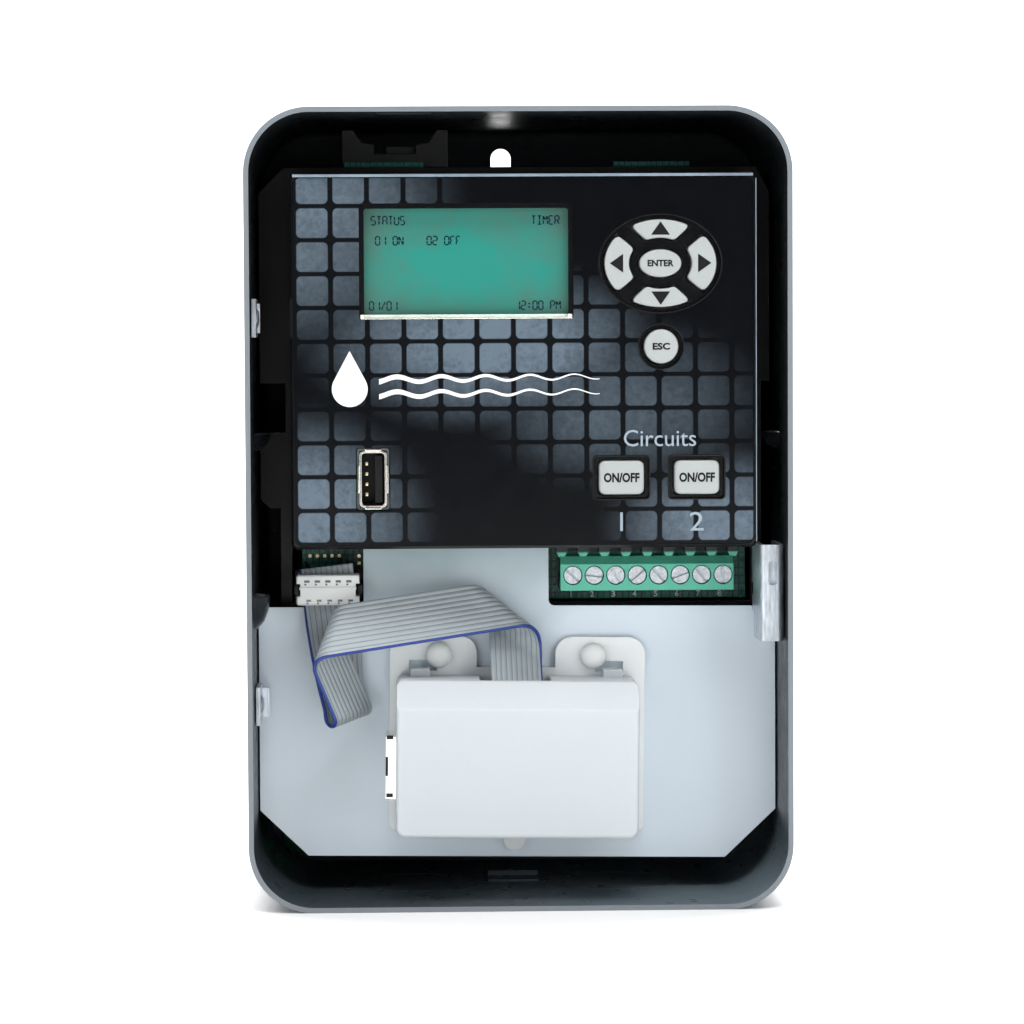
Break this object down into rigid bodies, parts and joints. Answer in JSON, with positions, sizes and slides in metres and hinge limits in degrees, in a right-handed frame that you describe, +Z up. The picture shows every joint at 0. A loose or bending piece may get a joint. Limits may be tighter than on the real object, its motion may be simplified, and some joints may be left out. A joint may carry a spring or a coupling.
{
  "type": "irrigation controller",
  "caption": "Wall-mounted steel-cased timer for two pump or valve circuits, open front, with display, keypad, terminals and a network module.",
  "frame": {"origin": "centre of the outer face of the case's back, where it meets the wall", "axes": "front faces -Y, +X is right seen from the front, +Z is up"},
  "size_m": [0.125, 0.074, 0.184],
  "materials": {
    "steel_paint": "satin",
    "zinc": "satin",
    "ground_green": "satin",
    "black_moulding": "satin",
    "overlay_gloss": "gloss",
    "display_glass": "gloss",
    "display_backlight": "satin",
    "key_rubber": "matte",
    "circuit_board": "satin",
    "bright_shell": "polished",
    "gold_shell": "satin",
    "terminal_green": "satin",
    "white_nylon": "satin",
    "ribbon_grey": "satin",
    "milky_sheet": "satin",
    "module_white": "satin",
    "core_steel": "matte",
    "copper_winding": "satin",
    "relay_blue": "gloss",
    "capacitor_sleeve": "gloss"
  },
  "bodies": {
    "housing": {"case_shell": "steel_paint", "hinge_lug_upper": "zinc", "hinge_lug_lower": "zinc", "latch_bracket": "zinc", "ground_screw": "ground_green", "module_tray": "black_moulding", "top_catch": "black_moulding", "bezel": "black_moulding", "lcd_frame": "black_moulding", "header_shroud": "black_moulding", "board_link": "black_moulding", "usb_tongue": "black_moulding", "line_terminal_block": "black_moulding", "overlay": "overlay_gloss", "lcd_glass": "display_glass", "lcd_backlight": "display_backlight", "keypad_mat": "key_rubber", "logic_pcb": "circuit_board", "display_pcb": "circuit_board", "power_pcb": "circuit_board", "network_pcb": "circuit_board", "usb_shell": "bright_shell", "rj45_jack": "gold_shell", "terminal_block": "terminal_green", "ribbon_plug": "white_nylon", "network_plug": "white_nylon", "ribbon_cable": "ribbon_grey", "barrier_sheet": "milky_sheet", "network_base": "module_white", "network_cover": "module_white", "push_rivet_left": "module_white", "push_rivet_right": "module_white", "transformer_core": "core_steel", "transformer_coil": "copper_winding", "relay_1": "relay_blue", "relay_2": "relay_blue", "backup_capacitor": "capacitor_sleeve"},
    "key_up": {"key_up": "key_rubber"},
    "key_down": {"key_down": "key_rubber"},
    "key_left": {"key_left": "key_rubber"},
    "key_right": {"key_right": "key_rubber"},
    "key_enter": {"key_enter": "key_rubber"},
    "key_escape": {"key_escape": "key_rubber"},
    "key_circuit_1": {"key_circuit_1": "key_rubber"},
    "key_circuit_2": {"key_circuit_2": "key_rubber"},
    "terminal_screw_1": {"terminal_screw_1": "zinc"},
    "terminal_screw_2": {"terminal_screw_2": "zinc"},
    "terminal_screw_3": {"terminal_screw_3": "zinc"},
    "terminal_screw_4": {"terminal_screw_4": "zinc"},
    "terminal_screw_5": {"terminal_screw_5": "zinc"},
    "terminal_screw_6": {"terminal_screw_6": "zinc"},
    "terminal_screw_7": {"terminal_screw_7": "zinc"},
    "terminal_screw_8": {"terminal_screw_8": "zinc"},
    "line_screw_1": {"line_screw_1": "zinc"},
    "line_screw_2": {"line_screw_2": "zinc"},
    "line_screw_3": {"line_screw_3": "zinc"},
    "line_screw_4": {"line_screw_4": "zinc"},
    "line_screw_5": {"line_screw_5": "zinc"},
    "line_screw_6": {"line_screw_6": "zinc"}
  },
  "joints": [
    {"name": "key_up_press", "type": "slide", "parent": "housing", "child": "key_up", "axis": [0, 1, 0], "range_m": [0, 0.001], "stiffness_N_per_m": 800},
    {"name": "key_down_press", "type": "slide", "parent": "housing", "child": "key_down", "axis": [0, 1, 0], "range_m": [0, 0.001], "stiffness_N_per_m": 800},
    {"name": "key_left_press", "type": "slide", "parent": "housing", "child": "key_left", "axis": [0, 1, 0], "range_m": [0, 0.001], "stiffness_N_per_m": 800},
    {"name": "key_right_press", "type": "slide", "parent": "housing", "child": "key_right", "axis": [0, 1, 0], "range_m": [0, 0.001], "stiffness_N_per_m": 800},
    {"name": "key_enter_press", "type": "slide", "parent": "housing", "child": "key_enter", "axis": [0, 1, 0], "range_m": [0, 0.001], "stiffness_N_per_m": 800},
    {"name": "key_escape_press", "type": "slide", "parent": "housing", "child": "key_escape", "axis": [0, 1, 0], "range_m": [0, 0.001], "stiffness_N_per_m": 800},
    {"name": "key_circuit_1_press", "type": "slide", "parent": "housing", "child": "key_circuit_1", "axis": [0, 1, 0], "range_m": [0, 0.001], "stiffness_N_per_m": 800},
    {"name": "key_circuit_2_press", "type": "slide", "parent": "housing", "child": "key_circuit_2", "axis": [0, 1, 0], "range_m": [0, 0.001], "stiffness_N_per_m": 800},
    {"name": "terminal_screw_1_turn", "type": "hinge", "parent": "housing", "child": "terminal_screw_1", "pos_m": [0.0132, -0.0455, -0.0166], "axis": [0, -1, 0], "range_deg": [0, 1710]},
    {"name": "terminal_screw_2_turn", "type": "hinge", "parent": "housing", "child": "terminal_screw_2", "pos_m": [0.01828, -0.0455, -0.0166], "axis": [0, -1, 0], "range_deg": [0, 1710]},
    {"name": "terminal_screw_3_turn", "type": "hinge", "parent": "housing", "child": "terminal_screw_3", "pos_m": [0.02336, -0.0455, -0.0166], "axis": [0, -1, 0], "range_deg": [0, 1710]},
    {"name": "terminal_screw_4_turn", "type": "hinge", "parent": "housing", "child": "terminal_screw_4", "pos_m": [0.02844, -0.0455, -0.0166], "axis": [0, -1, 0], "range_deg": [0, 1710]},
    {"name": "terminal_screw_5_turn", "type": "hinge", "parent": "housing", "child": "terminal_screw_5", "pos_m": [0.03352, -0.0455, -0.0166], "axis": [0, -1, 0], "range_deg": [0, 1710]},
    {"name": "terminal_screw_6_turn", "type": "hinge", "parent": "housing", "child": "terminal_screw_6", "pos_m": [0.0386, -0.0455, -0.0166], "axis": [0, -1, 0], "range_deg": [0, 1710]},
    {"name": "terminal_screw_7_turn", "type": "hinge", "parent": "housing", "child": "terminal_screw_7", "pos_m": [0.04368, -0.0455, -0.0166], "axis": [0, -1, 0], "range_deg": [0, 1710]},
    {"name": "terminal_screw_8_turn", "type": "hinge", "parent": "housing", "child": "terminal_screw_8", "pos_m": [0.04876, -0.0455, -0.0166], "axis": [0, -1, 0], "range_deg": [0, 1710]},
    {"name": "line_screw_1_turn", "type": "hinge", "parent": "housing", "child": "line_screw_1", "pos_m": [-0.03, -0.0245, -0.036], "axis": [0, -1, 0], "range_deg": [0, 1710]},
    {"name": "line_screw_2_turn", "type": "hinge", "parent": "housing", "child": "line_screw_2", "pos_m": [-0.018, -0.0245, -0.036], "axis": [0, -1, 0], "range_deg": [0, 1710]},
    {"name": "line_screw_3_turn", "type": "hinge", "parent": "housing", "child": "line_screw_3", "pos_m": [-0.006, -0.0245, -0.036], "axis": [0, -1, 0], "range_deg": [0, 1710]},
    {"name": "line_screw_4_turn", "type": "hinge", "parent": "housing", "child": "line_screw_4", "pos_m": [0.006, -0.0245, -0.036], "axis": [0, -1, 0], "range_deg": [0, 1710]},
    {"name": "line_screw_5_turn", "type": "hinge", "parent": "housing", "child": "line_screw_5", "pos_m": [0.018, -0.0245, -0.036], "axis": [0, -1, 0], "range_deg": [0, 1710]},
    {"name": "line_screw_6_turn", "type": "hinge", "parent": "housing", "child": "line_screw_6", "pos_m": [0.03, -0.0245, -0.036], "axis": [0, -1, 0], "range_deg": [0, 1710]}
  ]
}
